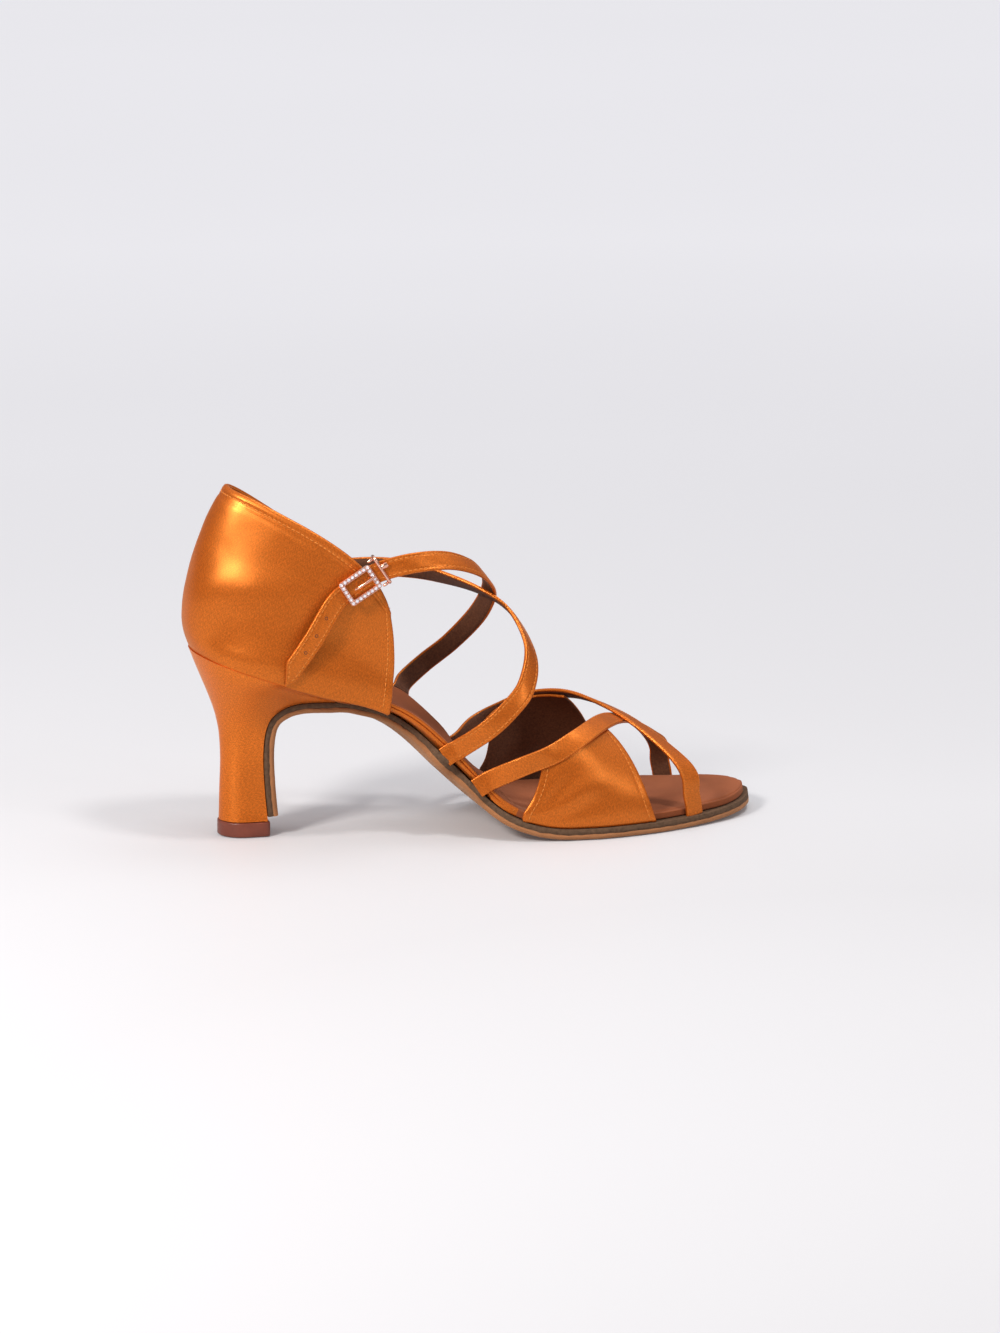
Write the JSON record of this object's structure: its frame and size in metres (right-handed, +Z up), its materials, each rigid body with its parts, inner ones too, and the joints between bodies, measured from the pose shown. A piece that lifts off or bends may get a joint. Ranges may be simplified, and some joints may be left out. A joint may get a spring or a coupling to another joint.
{
  "type": "ballroom dance shoe",
  "caption": "Women's Latin dance sandal, right foot, flared high heel, satin heel counter, crossed vamp and instep straps, suede sole.",
  "frame": {"origin": "middle of the shoe's bounding box, on the floor plane that the heel tip and the forefoot stand on", "axes": "+X towards the toe, +Y towards the inner (medial) side, +Z up"},
  "size_m": [0.2292, 0.0826, 0.1386],
  "materials": {
    "satin": "copper orange satin weave, soft sheen",
    "suede_sole": "tan brushed suede with a dark stained top edge",
    "insole_sock": "matte reddish brown padded microfibre",
    "cap_plastic": "dark red brown, semi gloss",
    "rose_gold": "polished rose gold plating, set with small clear stones"
  },
  "bodies": {
    "root": {"outsole": "suede_sole", "insole": "insole_sock", "heel": "satin", "heel_tip": "cap_plastic", "counter": "satin", "vamp": "satin", "instep_straps": "satin", "buckle_frame": "rose_gold", "buckle_loop": "rose_gold", "buckle_prong": "rose_gold"}
  },
  "joints": []
}
